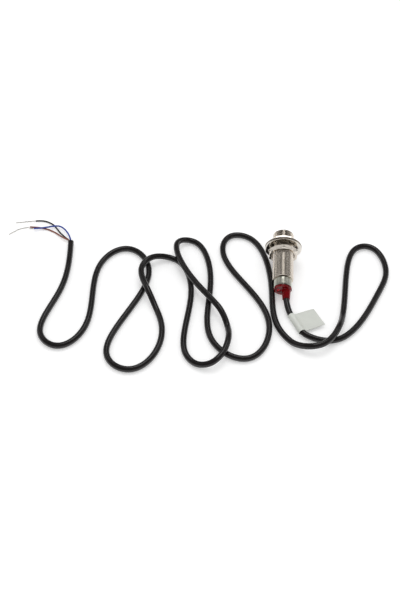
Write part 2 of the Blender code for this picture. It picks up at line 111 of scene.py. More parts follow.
# Label, by its distance from the boot; the cable stays straight for EASE beyond each end of it
LABEL_START, LABEL_END = 16.5 * MM, 36.5 * MM
EASE = 1.0 * MM
LABEL_FLAG, LABEL_T = 18.5 * MM, 0.2 * MM
LABEL_GAP = 0.06 * MM

WIRE_R, STRAND_R = 0.7 * MM, 0.38 * MM
# Stripped cores beyond the jacket, in millimetres: (x, y, z), insulation first, then bare strands
WIRES = {
    "blue": [(-189.6, 32.4, 3.1), (-192.0, 38.8, 2.6), (-196.1, 45.2, 2.4), (-201.4, 49.6, 2.3),
             (-206.2, 49.9, 2.3), (-211.9, 48.4, 2.3), (-218.7, 46.7, 2.3), (-225.0, 45.7, 2.2)],
    "black": [(-190.5, 32.3, 1.5), (-196.6, 38.6, 0.9), (-202.6, 45.6, 0.75), (-207.6, 52.3, 0.75),
              (-213.2, 56.1, 0.75), (-218.2, 57.6, 0.75), (-225.2, 57.3, 0.75)],
    "brown": [(-191.3, 32.0, 3.0), (-198.0, 36.6, 1.9), (-204.0, 42.0, 0.9), (-209.6, 45.4, 0.75),
              (-216.7, 48.0, 0.75), (-223.0, 48.9, 0.75), (-229.1, 49.1, 0.75)],
}
STRANDS = {
    "blue": [(-225.5, 45.65, 2.1), (-229.0, 45.3, 1.9)],
    "black": [(-225.7, 57.25, 0.75), (-233.5, 56.0, 0.5), (-243.0, 54.2, 0.5)],
    "brown": [(-229.6, 48.9, 0.75), (-237.5, 46.4, 0.5), (-241.6, 43.4, 0.5), (-246.6, 38.6, 0.5)],
}

# Light: radiance of the fill and of the mirrored room, and what the floor adds to be seen as white
FILL, ROOM_GREY, FLOOR_GLOW = 0.82, 0.09, 0.30
# Floor: its side in metres, how far it lies below the object, and its reflectance
FLOOR_SIZE, FLOOR_DROP, FLOOR_WHITE = 12.0, 0.05 * MM, 0.86

# Place of the sensor's own axes, from the front nut's joint
front_nut_joint = next(j for j in frame["joints"] if j["name"] == "front_nut_turn")
AHEAD = Vector(front_nut_joint["axis"]).normalized()
ALONG, RIGHT = -AHEAD, Vector((1, 0, 0))
FACE = Vector(front_nut_joint["pos_m"]) + AHEAD * (FRONT_NUT_Z + 0.5 * NUT_T)
SENSOR = (Matrix.Translation(FACE)
          @ Matrix((RIGHT, ALONG.cross(RIGHT), ALONG)).transposed().to_4x4())
TILT = math.asin(AHEAD.z)


# ---------------------------------------------------------------- camera and stage
def make_camera():
    data = bpy.data.cameras.new("camera")
    data.sensor_width = 36.0
    data.lens = CAMERA_LENS
    camera = bpy.data.objects.new("camera", data)
    camera.location = CAMERA_PLACE
    turn, down = math.radians(CAMERA_TURN), math.radians(CAMERA_DOWN)
    looking = Vector((-math.sin(turn) * math.cos(down), math.cos(turn) * math.cos(down),
                      -math.sin(down)))
    camera.rotation_mode = "QUATERNION"
    camera.rotation_quaternion = looking.to_track_quat("-Z", "Y")
    bpy.context.scene.collection.objects.link(camera)
    bpy.context.scene.camera = camera


def make_lamp(name, location, size, power):
    """A rectangular lamp that faces the middle of the floor."""
    data = bpy.data.lights.new(name, "AREA")
    data.shape = "RECTANGLE"
    data.size, data.size_y = size
    data.energy = power
    lamp = bpy.data.objects.new(name, data)
    lamp.location = location
    lamp.rotation_mode = "QUATERNION"
    lamp.rotation_quaternion = (-Vector(location)).to_track_quat("-Z", "Y")
    lamp.visible_camera = False
    bpy.context.scene.collection.objects.link(lamp)


def make_world():
    """White behind the object, a white horizon under a grey room for what plated metal mirrors,
    and an even fill for everything matt."""
    world = bpy.data.worlds.new("studio")
    world.use_nodes = True
    bpy.context.scene.world = world
    nodes, links = world.node_tree.nodes, world.node_tree.links
    coordinates = nodes.new("ShaderNodeTexCoord")
    split = nodes.new("ShaderNodeSeparateXYZ")
    links.new(coordinates.outputs["Generated"], split.inputs[0])
    room = nodes.new("ShaderNodeValToRGB")
    low, high = room.color_ramp.elements
    low.position, low.color = 0.04, (1, 1, 1, 1)
    high.position, high.color = 0.22, (ROOM_GREY, 0.98 * ROOM_GREY, 0.95 * ROOM_GREY, 1)
    links.new(split.outputs["Z"], room.inputs[0])
    path = nodes.new("ShaderNodeLightPath")
    mirrored = nodes.new("ShaderNodeMath")
    mirrored.operation = "MAXIMUM"
    links.new(path.outputs["Is Glossy Ray"], mirrored.inputs[0])
    links.new(path.outputs["Is Transmission Ray"], mirrored.inputs[1])
    fill_or_room = nodes.new("ShaderNodeMix")
    fill_or_room.data_type = "RGBA"
    fill_or_room.inputs["A"].default_value = (FILL, FILL, FILL, 1)
    links.new(mirrored.outputs[0], fill_or_room.inputs["Factor"])
    links.new(room.outputs[0], fill_or_room.inputs["B"])
    or_white = nodes.new("ShaderNodeMix")
    or_white.data_type = "RGBA"
    or_white.inputs["B"].default_value = (1, 1, 1, 1)
    links.new(path.outputs["Is Camera Ray"], or_white.inputs["Factor"])
    links.new(fill_or_room.outputs["Result"], or_white.inputs["A"])
    links.new(or_white.outputs["Result"], nodes["Background"].inputs["Color"])


def make_floor():
    """A pale matt floor, lit like the object, with a glow that makes it white where it is seen."""
    bpy.ops.mesh.primitive_plane_add(size=FLOOR_SIZE, location=(0, 0, -FLOOR_DROP))
    floor = bpy.context.object
    floor.name = "floor"
    made = bpy.data.materials.new("floor_paper")
    made.use_nodes = True
    nodes, links = made.node_tree.nodes, made.node_tree.links
    nodes.remove(nodes["Principled BSDF"])
    paper = nodes.new("ShaderNodeBsdfDiffuse")
    paper.inputs["Color"].default_value = (FLOOR_WHITE, FLOOR_WHITE, FLOOR_WHITE, 1)
    path = nodes.new("ShaderNodeLightPath")
    seen = nodes.new("ShaderNodeMath")
    seen.operation = "ADD"
    links.new(path.outputs["Is Camera Ray"], seen.inputs[0])
    links.new(path.outputs["Is Glossy Ray"], seen.inputs[1])
    seen_through = nodes.new("ShaderNodeMath")
    seen_through.operation = "ADD"
    links.new(seen.outputs[0], seen_through.inputs[0])
    links.new(path.outputs["Is Transmission Ray"], seen_through.inputs[1])
    share = nodes.new("ShaderNodeMath")
    share.operation = "MULTIPLY"
    share.inputs[1].default_value = FLOOR_GLOW
    links.new(seen_through.outputs[0], share.inputs[0])
    glow = nodes.new("ShaderNodeEmission")
    links.new(share.outputs[0], glow.inputs["Strength"])
    both = nodes.new("ShaderNodeAddShader")
    links.new(paper.outputs[0], both.inputs[0])
    links.new(glow.outputs[0], both.inputs[1])
    links.new(both.outputs[0], nodes["Material Output"].inputs["Surface"])
    floor.data.materials.append(made)


def make_studio():
    make_world()
    make_floor()
    make_lamp("overhead", (0.0, 0.66, 1.45), (0.60, 0.8), 3.8)
    make_lamp("left", (-1.25, 0.65, 1.05), (0.50, 0.8), 0.9)
    make_lamp("right", (1.20, 0.65, 1.05), (0.50, 0.8), 0.9)


# ---------------------------------------------------------------- materials
def blank(name, colour, roughness, metallic=0.0, **sockets):
    """A Principled material, its node tree's nodes and links, and the shader itself."""
    made = bpy.data.materials.new(name)
    made.use_nodes = True
    nodes, links = made.node_tree.nodes, made.node_tree.links
    shader = nodes["Principled BSDF"]
    shader.inputs["Base Color"].default_value = (*colour, 1.0)
    shader.inputs["Roughness"].default_value = roughness
    shader.inputs["Metallic"].default_value = metallic
    for socket, value in sockets.items():
        shader.inputs[socket.replace("_", " ")].default_value = value
    return made, nodes, links, shader


def noise(nodes, links, scale, detail=3.0, stretch=(1, 1, 1)):
    """Noise in the object's own coordinates; scale is in features per metre."""
    coordinates = nodes.new("ShaderNodeTexCoord")
    mapping = nodes.new("ShaderNodeMapping")
    mapping.inputs["Scale"].default_value = stretch
    links.new(coordinates.outputs["Object"], mapping.inputs["Vector"])
    texture = nodes.new("ShaderNodeTexNoise")
    texture.inputs["Scale"].default_value = scale
    texture.inputs["Detail"].default_value = detail
    links.new(mapping.outputs["Vector"], texture.inputs["Vector"])
    return texture.outputs["Fac"]


def vary_colour(nodes, links, shader, source, colour, spread):
    """Base colour that runs from darker to lighter by this share as the source goes from 0 to 1."""
    ramp = nodes.new("ShaderNodeValToRGB")
    low, high = ramp.color_ramp.elements
    low.position, high.position = 0.3, 0.7
    low.color = (*(c * (1 - spread) for c in colour), 1)
    high.color = (*(min(1.0, c * (1 + spread)) for c in colour), 1)
    links.new(source, ramp.inputs[0])
    links.new(ramp.outputs[0], shader.inputs["Base Color"])
    return ramp.outputs[0]


def vary_roughness(nodes, links, shader, source, low, high):
    span = nodes.new("ShaderNodeMapRange")
    span.inputs["From Min"].default_value = 0.3
    span.inputs["From Max"].default_value = 0.7
    span.inputs["To Min"].default_value = low
    span.inputs["To Max"].default_value = high
    links.new(source, span.inputs["Value"])
    links.new(span.outputs[0], shader.inputs["Roughness"])


def bumped(nodes, links, shader, source, height, strength=1.0):
    bump = nodes.new("ShaderNodeBump")
    bump.inputs["Strength"].default_value = strength
    bump.inputs["Distance"].default_value = height
    links.new(source, bump.inputs["Height"])
    links.new(bump.outputs[0], shader.inputs["Normal"])


def plastic(name, colour, roughness, spread=0.12, mottle=250.0, grain=2500.0, height=0.01 * MM,
            **sockets):
    """Moulded plastic or rubber: faint mottling over a fine grain."""
    made, nodes, links, shader = blank(name, colour, roughness, **sockets)
    vary_colour(nodes, links, shader, noise(nodes, links, mottle), colour, spread)
    vary_roughness(nodes, links, shader, noise(nodes, links, 3 * mottle), 0.85 * roughness,
                   1.15 * roughness)
    bumped(nodes, links, shader, noise(nodes, links, grain, 2.0), height)
    return made


def plated(name, colour, roughness, worn, stretch=(1, 1, 1)):
    """Plated metal: cloudy plating, tool marks drawn out across the stretch, and rubbed edges."""
    made, nodes, links, shader = blank(name, colour, roughness, 1.0)
    base = vary_colour(nodes, links, shader, noise(nodes, links, 180.0), colour, 0.05)
    geometry = nodes.new("ShaderNodeNewGeometry")
    edges = nodes.new("ShaderNodeMapRange")
    edges.inputs["From Min"].default_value = 0.54
    edges.inputs["From Max"].default_value = 0.62
    edges.inputs["To Max"].default_value = 0.6
    links.new(geometry.outputs["Pointiness"], edges.inputs["Value"])
    mix = nodes.new("ShaderNodeMix")
    mix.data_type = "RGBA"
    mix.inputs["B"].default_value = (*worn, 1)
    links.new(edges.outputs[0], mix.inputs["Factor"])
    links.new(base, mix.inputs["A"])
    links.new(mix.outputs["Result"], shader.inputs["Base Color"])
    vary_roughness(nodes, links, shader, noise(nodes, links, 420.0, 4.0), 0.8 * roughness,
                   1.3 * roughness)
    bumped(nodes, links, shader, noise(nodes, links, 1500.0, 4.0, stretch), 0.004 * MM, 0.6)
    return made


def circuit_laminate(name):
    """Green solder mask over copper tracks."""
    made, nodes, links, shader = blank(name, (0.02, 0.16, 0.06), 0.35)
    coordinates = nodes.new("ShaderNodeTexCoord")
    tracks = nodes.new("ShaderNodeTexBrick")
    tracks.inputs["Scale"].default_value = 500.0
    tracks.inputs["Mortar Size"].default_value = 0.06
    tracks.inputs["Color1"].default_value = (0.015, 0.13, 0.05, 1)
    tracks.inputs["Color2"].default_value = (0.02, 0.17, 0.06, 1)
    tracks.inputs["Mortar"].default_value = (0.05, 0.26, 0.09, 1)
    links.new(coordinates.outputs["Object"], tracks.inputs["Vector"])
    links.new(tracks.outputs["Color"], shader.inputs["Base Color"])
    bumped(nodes, links, shader, tracks.outputs["Fac"], 0.03 * MM)
    return made


FINISHES = {
    "nickel_brass": plated("plated_brass", (0.68, 0.62, 0.55), 0.20, (0.80, 0.72, 0.60),
                           (1, 1, 8)),
    "nickel_collar": plated("plated_collar", (0.66, 0.66, 0.58), 0.36, (0.80, 0.76, 0.62),
                            (1, 1, 14)),
    "nickel_nut": plated("plated_nut", (0.77, 0.71, 0.64), 0.16, (0.85, 0.78, 0.66)),
    "nickel_steel": plated("plated_steel", (0.78, 0.75, 0.70), 0.09, (0.82, 0.79, 0.74)),
    # Washer rims: the dark base colour is painted shade of the narrow gaps between the washers and
    # nuts; the higher roughness is the stamped edge's own duller finish.
    "steel_edge_painted_shade": plated("stamped_edge_painted_shade", (0.30, 0.26, 0.22), 0.42, (0.40, 0.35, 0.30)),
    "tinned_metal": plated("tinned_copper", (0.74, 0.72, 0.68), 0.30, (0.80, 0.74, 0.62)),
    "adjuster_plastic": plastic("adjuster_plastic", (0.78, 0.015, 0.035), 0.12, 0.08, 300.0,
                                1500.0, 0.006 * MM, Transmission_Weight=0.2, IOR=1.5),
    "red_cap": plastic("red_cap_plastic", (0.40, 0.002, 0.008), 0.07, 0.10, 120.0, 900.0,
                       0.005 * MM, Transmission_Weight=0.65, IOR=1.5),
    "front_window": plastic("smoked_red_window", (0.20, 0.004, 0.006), 0.06, 0.05, 120.0, 900.0,
                            0.004 * MM, Transmission_Weight=0.6, IOR=1.5),
    "cable_jacket": plastic("jacket_pvc", (0.0105, 0.0088, 0.0092), 0.24, 0.25, 90.0, 1800.0,
                            0.02 * MM),
    "rubber_seal": plastic("seal_rubber", (0.012, 0.012, 0.012), 0.65),
    "black_plastic": plastic("holder_plastic", (0.02, 0.02, 0.02), 0.5),
    "component_black": plastic("chip_epoxy", (0.025, 0.025, 0.025), 0.55, 0.2, 600.0, 6000.0),
    "trimmer_plastic": plastic("trimmer_plastic", (0.72, 0.72, 0.69), 0.5, 0.04),
    "diode_epoxy": plastic("diode_epoxy", (0.62, 0.62, 0.66), 0.08, 0.03, Transmission_Weight=0.7),
    "core_blue": plastic("core_blue_pvc", (0.012, 0.05, 0.33), 0.35),
    "core_black": plastic("core_black_pvc", (0.016, 0.016, 0.017), 0.35),
    "core_brown": plastic("core_brown_pvc", (0.22, 0.062, 0.036), 0.35),
    "label_film": plastic("label_film", (0.66, 0.68, 0.63), 0.42, 0.03, 140.0, 900.0, 0.03 * MM),
    "board_laminate": circuit_laminate("board_laminate"),
}


# ---------------------------------------------------------------- mesh helpers
def mesh_of(name, points, faces, sharp=35.0):
    """A welded mesh with its faces pointing out, smooth but for edges sharper than this angle."""
    mesh = bpy.data.meshes.new(name)
    mesh.from_pydata([tuple(p) for p in points], [], faces)
    bm = bmesh.new()
    bm.from_mesh(mesh)
    bmesh.ops.remove_doubles(bm, verts=bm.verts, dist=0.0005 * MM)
    bmesh.ops.recalc_face_normals(bm, faces=bm.faces)
    bm.to_mesh(mesh)
    bm.free()
    mesh.shade_smooth()
    mesh.set_sharp_from_angle(angle=math.radians(sharp))
    return mesh


def band(rings, count, start=0):
    """Faces between successive rings of count points each, numbered from start."""
    faces = []
    for ring in range(rings - 1):
        for i in range(count):
            j = (i + 1) % count
            a, b = start + ring * count, start + (ring + 1) * count
            faces.append((a + i, a + j, b + j, b + i))
    return faces


def ring_points(radius, z, count):
    """A ring of points about the Z axis; radius and z are numbers or one value for each point."""
    angles = np.arange(count) * 2 * math.pi / count
    flat = np.ones(count)
    return np.stack([radius * flat * np.cos(angles), radius * flat * np.sin(angles), z * flat], 1)


def turned(profile, count=AROUND, x=0.0):
    """Points and faces of a profile of (radius, z) turned about an axis at this x."""
    points = np.concatenate([ring_points(r, z, count) for r, z in profile])
    points[:, 0] += x
    return points, band(len(profile), count)


def arc(centre_r, centre_z, radius, start, end, count):
    """Points of an arc in a profile, from one angle to another in degrees."""
    angles = np.radians(np.linspace(start, end, count))
    return [(centre_r + radius * math.cos(t), centre_z + radius * math.sin(t)) for t in angles]


def joined(*parts):
    """Several (points, faces) as one."""
    points, faces, start = [], [], 0
    for part_points, part_faces in parts:
        points.append(np.asarray(part_points, float))
        faces += [tuple(start + i for i in face) for face in part_faces]
        start += len(part_points)
    return np.concatenate(points), faces


def place(name, mesh, slot, body="root", nodes=(), matrix=SENSOR, finish=None):
    """A finished piece of the object, standing for these CAD nodes."""
    made = bpy.data.objects.new(name, mesh)
    made.matrix_world = matrix
    mesh.materials.append(FINISHES[finish or slot])
    bpy.context.scene.collection.objects.link(made)
    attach(made, body)
    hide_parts(*nodes)
    return made


def bevel(piece, width):
    rounding = piece.modifiers.new("edges", "BEVEL")
    rounding.width = width
    rounding.segments = 2
    rounding.angle_limit = math.radians(40.0)


def combine(piece, other, operation):
    """Adds another shape to the piece, or cuts it away, and removes that shape."""
    change = piece.modifiers.new(other.name, "BOOLEAN")
    change.operation = operation
    change.object = other
    change.solver = "EXACT"
    bpy.context.view_layer.update()
    evaluated = piece.evaluated_get(bpy.context.evaluated_depsgraph_get())
    mesh = bpy.data.meshes.new_from_object(evaluated)
    piece.modifiers.clear()
    piece.data = mesh
    bpy.data.objects.remove(other, do_unlink=True)


def tool(name, points, faces):
    """A shape to be joined to a piece or cut from it, in the sensor's own axes."""
    made = bpy.data.objects.new(name, mesh_of(name, points, faces))
    made.matrix_world = SENSOR
    bpy.context.scene.collection.objects.link(made)
    return made


def capped(profile, count=64, x=0.0):
    """A turned solid, closed at both ends by a single face."""
    points, faces = turned(profile, count, x)
    last = len(points) - count
    return points, faces + [tuple(range(count)), tuple(range(last, last + count))]


# ---------------------------------------------------------------- thread
# One pitch of the thread: (share of the pitch, share of the full depth), crest and root rounded
THREAD_FORM = [(0.0, 0.1), (0.04, 0.0), (0.28, 0.0), (0.32, 0.1), (0.52, 0.9), (0.57, 1.0),
               (0.73, 1.0), (0.79, 0.9)]


def screw_skin(z0, z1, radius_at):
    """A skin whose rows follow the helix and end in plain rings at z0 and z1.

    radius_at(depth, z) gives the radius from the thread's depth there, as a share, and the place.
    """
    count = AROUND
    turns = int(round((z1 - z0) / PITCH)) + 3
    rows = [(z0 + (turn - 1 + share) * PITCH, depth)
            for turn in range(turns) for share, depth in THREAD_FORM]
    across = len(THREAD_FORM)
    phase = PITCH * np.arange(count) / count - (z0 % PITCH)
    points = []
    for base, depth in rows:
        z = np.clip(base + phase, z0, z1)
        points.append(ring_points(radius_at(depth, z), z, count))
    faces = []
    for row in range(len(rows) - 1 - across):
        for i in range(count):
            j, over = (i + 1, row) if i + 1 < count else (0, row + across)
            faces.append((row * count + i, over * count + j, (over + 1) * count + j,
                          (row + 1) * count + i))
    return np.concatenate(points), faces


def make_barrel():
    """A threaded sleeve, chamfered at 45 degrees at both ends of the thread, and its plain collar."""
    root_r = THREAD_R - THREAD_DEPTH

    def outside(depth, z):
        thread = THREAD_R - THREAD_DEPTH * depth
        front_chamfer = FACE_R + z
        rear_chamfer = root_r + (THREAD_END - z)
        return np.minimum(thread, np.minimum(front_chamfer, rear_chamfer))

    edge, neck = 0.15 * MM, 0.35 * MM
    thread = screw_skin(0.0, THREAD_END, outside)
    inside = turned([
        (FACE_R, 0.0), (LENS_SEAT_R + edge, 0.0), (LENS_SEAT_R, edge),
        (LENS_SEAT_R, LENS_SEAT_DEPTH), (BORE_R, LENS_SEAT_DEPTH), (BORE_R, REAR_BORE_START),
        (REAR_BORE_R, REAR_BORE_START), (REAR_BORE_R, BARREL_END - edge),
        (REAR_BORE_R + edge, BARREL_END), (COLLAR_R - 2 * edge, BARREL_END)])
    collar_end = turned(arc(COLLAR_R - 2 * edge, BARREL_END - 2 * edge, 2 * edge, 90, 0, 4))
    seat = turned([(root_r, THREAD_END), (COLLAR_R - neck, THREAD_END + 0.02 * MM),
                   (COLLAR_R - neck, THREAD_END + neck), (COLLAR_R - 0.1 * MM, THREAD_END + neck),
                   (COLLAR_R, THREAD_END + neck + 0.1 * MM), (COLLAR_R, BARREL_END - 2 * edge)])
    mesh = mesh_of("barrel", *joined(thread, inside, collar_end, seat), sharp=40.0)
    place("threaded_barrel", mesh, "nickel_brass", nodes=["barrel"])
    mesh.materials.append(FINISHES["nickel_collar"])
    for face in mesh.polygons:
        if face.center.z > THREAD_END + 0.1 * MM and face.center.xy.length > REAR_BORE_R:
            face.material_index = 1


def make_nut(name, z0, corner_up, body, node):
    """A thin hexagon nut, its corners turned back on both faces, with the mating thread inside."""
    count = AROUND
    angles = np.arange(count) * 2 * math.pi / count
    corner = math.pi / 2 if corner_up else math.pi / 3
    off_flat = (angles - corner) % (math.pi / 3) - math.pi / 6
    flat_r = 0.5 * NUT_AF / np.cos(off_flat)
    edge = 0.12 * MM
    outer = np.minimum(flat_r, 0.5 * NUT_AF / math.cos(math.pi / 6) - edge)
    face_r = 0.5 * NUT_AF - 0.25 * MM
    fall = (outer - face_r) * math.tan(math.radians(30))
    z1 = z0 + NUT_T

    faces_out = np.concatenate([
        ring_points(NUT_MOUTH_R, z0, count), ring_points(face_r, z0, count),
        ring_points(outer - edge, z0 + fall - 0.3 * edge, count),
        ring_points(outer, z0 + fall + 0.8 * edge, count),
        ring_points(outer, z1 - fall - 0.8 * edge, count),
        ring_points(outer - edge, z1 - fall + 0.3 * edge, count),
        ring_points(face_r, z1, count), ring_points(NUT_MOUTH_R, z1, count)])
    crest_r = THREAD_R - THREAD_DEPTH + 0.15 * MM

    def bore(depth, z):
        thread = np.maximum(THREAD_R - THREAD_DEPTH * depth + NUT_CLEARANCE, crest_r)
        mouth = NUT_MOUTH_R - 0.6 * np.minimum(z - z0, z1 - z)
        return np.maximum(thread, mouth)

    mesh = mesh_of(node, *joined((faces_out, band(8, count)), screw_skin(z0, z1, bore)), sharp=28.0)
    place(name, mesh, "nickel_brass", body, [node], finish="nickel_nut")


def make_washer(name, z0, first_tooth, body, node):
    """A lock washer: a flat ring whose teeth reach in to the thread, each with a slight twist."""
    pitch = 2 * math.pi / TOOTH_COUNT
    half, steps = 0.5 * pitch * TOOTH_SHARE, 7
    turns = []
    for tooth in range(TOOTH_COUNT):
        middle = first_tooth + tooth * pitch
        turns += [middle + t for t in np.linspace(-half, half, steps)]
        turns += [middle + t for t in np.linspace(half, pitch - half, steps)[1:-1]]
    turns = np.array(turns)
    count = len(turns)
    z = z0 + 0.5 * WASHER_T

    def ring(radius):
        return np.stack([radius * np.cos(turns), radius * np.sin(turns), np.full(count, z)], 1)

    def tooth_row(tooth, share):
        """Points across a tooth, from its root (share 0) to its tip (share 1)."""
        middle = first_tooth + tooth * pitch
        sides = np.linspace(-half, half, steps)
        turn = middle + sides * (1 - 0.1 * share)
        radius = WASHER_RING_R + (WASHER_TOOTH_R - WASHER_RING_R) * share
        twist = TOOTH_TWIST * (sides / half) * share
        return np.stack([radius * np.cos(turn), radius * np.sin(turn), z + twist], 1)

    parts = [(np.concatenate([ring(WASHER_R), ring(0.5 * (WASHER_R + WASHER_RING_R)),
                              ring(WASHER_RING_R)]), band(3, count))]
    row_count = 5
    for tooth in range(TOOTH_COUNT):
        rows = [tooth_row(tooth, share) for share in np.linspace(0.0, 1.0, row_count)]
        faces = [(r * steps + i, r * steps + i + 1, (r + 1) * steps + i + 1, (r + 1) * steps + i)
                 for r in range(row_count - 1) for i in range(steps - 1)]
        parts.append((np.concatenate(rows), faces))
    washer = place(name, mesh_of(node, *joined(*parts)), "nickel_steel", body, [node])
    # the rims get the dark finish whose colour is painted shade of the gaps between washers and nuts
    washer.data.materials.append(FINISHES["steel_edge_painted_shade"])
    thick = washer.modifiers.new("thickness", "SOLIDIFY")
    thick.thickness = WASHER_T
    thick.offset = 0.0
    thick.material_offset_rim = 1
    bevel(washer, 0.1 * MM)


# ---------------------------------------------------------------- front and rear ends
def make_window():
    """A disc with a rounded front edge, a little smaller than its seat."""
    edge, r = 0.5 * MM, LENS_SEAT_R - 0.15 * MM
    profile = [(CENTRE_R, LENS_END), (r, LENS_END), (r, LENS_Z + edge)]
    profile += arc(r - edge, LENS_Z + edge, edge, 0, -90, 6)[1:]
    profile += [(CENTRE_R, LENS_Z)]
    mesh = mesh_of("window", *turned(profile))
    place("front_window", mesh, "front_window", nodes=["front_lens"])


def make_cap():
    """One red moulding: plug, flange with a rounded rim, and a tapered boot round the cable."""
    rim = arc(CAP_R - CAP_EDGE_R, CAP_END - CAP_EDGE_R, CAP_EDGE_R, 0, 90, 8)
    flange = capped([(PLUG_R, PLUG_Z), (PLUG_R, CAP_Z), (CAP_R - 0.15 * MM, CAP_Z),
                     (CAP_R, CAP_Z + 0.15 * MM)] + rim, AROUND)
    fillet = 0.6 * MM
    tip_edge = 0.4 * MM
    root = arc(BOOT_ROOT_R + fillet, CAP_END + fillet, fillet, 270, 180, 6)
    tip = arc(BOOT_TIP_R - tip_edge, BOOT_END - tip_edge, tip_edge, 0, 90, 5)
    boot = capped([(BOOT_ROOT_R + fillet, CAP_Z + fillet)] + root + tip, x=CABLE_X)
    bore_r = CABLE_R + 0.03 * MM
    cable_bore = capped([(bore_r, PLUG_Z - MM), (bore_r, BOOT_END + MM)], x=CABLE_X)
    hole_r, lead = ADJUSTER_R + 0.2 * MM, 0.25 * MM
    adjuster_bore = capped([(hole_r, PLUG_Z - MM), (hole_r, CAP_END - lead),
                            (hole_r + 2 * lead, CAP_END + lead)], 48, ADJUSTER_X)
    cap = place("red_rear_cap", mesh_of("cap", *flange), "red_cap", nodes=["rear_cap"])
    combine(cap, tool("boot_form", *boot), "UNION")
    combine(cap, tool("cable_bore", *cable_bore), "DIFFERENCE")
    combine(cap, tool("adjuster_bore", *adjuster_bore), "DIFFERENCE")
    cap.data.shade_smooth()
    cap.data.set_sharp_from_angle(angle=math.radians(32.0))


def make_adjuster():
    """A slotted trimmer screw, sunk a little below the cap's face."""
    edge = 0.25 * MM
    rim = arc(ADJUSTER_R - edge, ADJUSTER_END - edge, edge, 0, 90, 5)
    body = capped([(ADJUSTER_R, ADJUSTER_Z)] + rim, 48, ADJUSTER_X)
    screw = place("adjuster_slotted", mesh_of("adjuster", *body), "adjuster_plastic", "adjuster",
                  ["adjuster_screw"])
    slot_half = Vector((3.0, 0.3, 0.9)) * MM
    slot_middle = Vector((ADJUSTER_X, 0, ADJUSTER_END))
    corners = [slot_middle + Vector((x * slot_half.x, y * slot_half.y, z * slot_half.z))
               for z in (-1, 1) for y in (-1, 1) for x in (-1, 1)]
    sides = [(0, 1, 3, 2), (4, 5, 7, 6), (0, 1, 5, 4), (2, 3, 7, 6), (0, 2, 6, 4), (1, 3, 7, 5)]
    combine(screw, tool("slot", corners, sides), "DIFFERENCE")
    screw.data.shade_smooth()
    screw.data.set_sharp_from_angle(angle=math.radians(32.0))
    bevel(screw, 0.05 * MM)


# ---------------------------------------------------------------- cable, label and cores
def sensor_point(x, y, z):
    """World place of a point given in the sensor's own axes."""
    return SENSOR @ Vector((x, y, z))


def spline(points, samples):
    """A natural cubic spline through the points, read at equal steps along its length.

    Its knots are centripetal, spaced by the root of each chord, which keeps tight bends round.
    """
    points = np.array(points, float)
    chords = np.linalg.norm(np.diff(points, axis=0), axis=1)
    knots = np.concatenate([[0.0], np.cumsum(np.sqrt(chords))])
    span = np.diff(knots)[:, None]
    slope = np.diff(points, axis=0) / span
    count = len(points)
    system = np.eye(count)
    target = np.zeros_like(points)
    for i in range(1, count - 1):
        system[i, i - 1:i + 2] = span[i - 1, 0], 2 * (span[i - 1, 0] + span[i, 0]), span[i, 0]
        target[i] = 6 * (slope[i] - slope[i - 1])
    bend = np.linalg.solve(system, target)

    def at(t):
        i = np.clip(np.searchsorted(knots, t) - 1, 0, count - 2)
        a, h = (t - knots[i])[:, None], span[i]
        first = slope[i] - h * (2 * bend[i] + bend[i + 1]) / 6
        return points[i] + a * (first + a * (bend[i] / 2 + a * (bend[i + 1] - bend[i]) / (6 * h)))

    fine = at(np.linspace(0.0, knots[-1], 40 * count))
    run = np.concatenate([[0.0], np.cumsum(np.linalg.norm(np.diff(fine, axis=0), axis=1))])
    even = np.linspace(0.0, run[-1], samples)
    return np.stack([np.interp(even, run, fine[:, k]) for k in range(points.shape[1])], axis=1)


def lift_at(run):
    """How far the cable is raised at this many millimetres from the boot."""
    height = 0.0
    for start, end in CROSSINGS:
        away = max(start - run, run - end, 0.0)
        share = max(0.0, 1.0 - away / RAMP)
        height = max(height, LIFT * share * share * (3 - 2 * share))
    return height


def cable_path():
    """Fine points along the cable, in world metres, and how far each is past the boot."""
    inside = sensor_point(CABLE_X, 0, CABLE_Z)
    leaving = sensor_point(CABLE_X, 0, BOOT_END)
    floor = [(x * MM, y * MM) for x, y in ROUTE]
    plan = spline([inside[:2], leaving[:2]] + floor, FINE_POINTS)
    run = np.linspace(0.0, 1.0, FINE_POINTS) * np.linalg.norm(np.diff(plan, axis=0), axis=1).sum()
    run -= (leaving - inside).xy.length
    path = []
    for (x, y), s in zip(plan, run):
        beyond = (s - LABEL_END - EASE) / (LABEL_END - LABEL_START)
        clear = CABLE_R + LABEL_LIFT * min(1.0, max(0.0, 1.0 - beyond))
        falling = leaving.z - math.tan(TILT) * s
        resting = clear + 0.5 * (falling - clear + math.hypot(falling - clear, SETTLE))
        path.append((x, y, max(CABLE_R, resting) + lift_at(s / MM)))
    return np.array(path), run


def along(path, run, stations):
    """Points on the path at these distances from the boot."""
    return np.array([np.interp(stations, run, path[:, k]) for k in range(3)]).T


def straightened(path, run):
    """The path with its stretches in the boot and in the label made straight, and eased into."""
    eased = path.copy()
    held = [(run[0], EASE, sensor_point(CABLE_X, 0, CABLE_Z),
             sensor_point(CABLE_X, 0, BOOT_END + EASE)),
            (LABEL_START - EASE, LABEL_END + EASE,
             *along(path, run, [LABEL_START - EASE, LABEL_END + EASE]))]
    for start, end, first, last in held:
        within = (run >= start) & (run <= end)
        share = ((run[within] - start) / (end - start))[:, None]
        eased[within] = np.array(first) * (1 - share) + np.array(last) * share
    reach, near = 3, np.searchsorted(run, 2 * LABEL_END)
    window = np.ones(2 * reach + 1) / (2 * reach + 1)
    for _ in range(2):
        for k in range(3):
            eased[reach:near - reach, k] = np.convolve(eased[:near, k], window, "valid")
    return eased


def tube(name, points, radius, slot, nodes, sides_level):
    """A round cord along these points, as a curve with a bevel."""
    data = bpy.data.curves.new(name, "CURVE")
    data.dimensions = "3D"
    data.bevel_depth = radius
    data.bevel_resolution = sides_level
    data.use_fill_caps = True
    line = data.splines.new("POLY")
    line.points.add(len(points) - 1)
    for point, where in zip(line.points, points):
        point.co = (*where, 1.0)
    line.use_smooth = True
    return place(name, data, slot, nodes=nodes, matrix=Matrix.Identity(4))


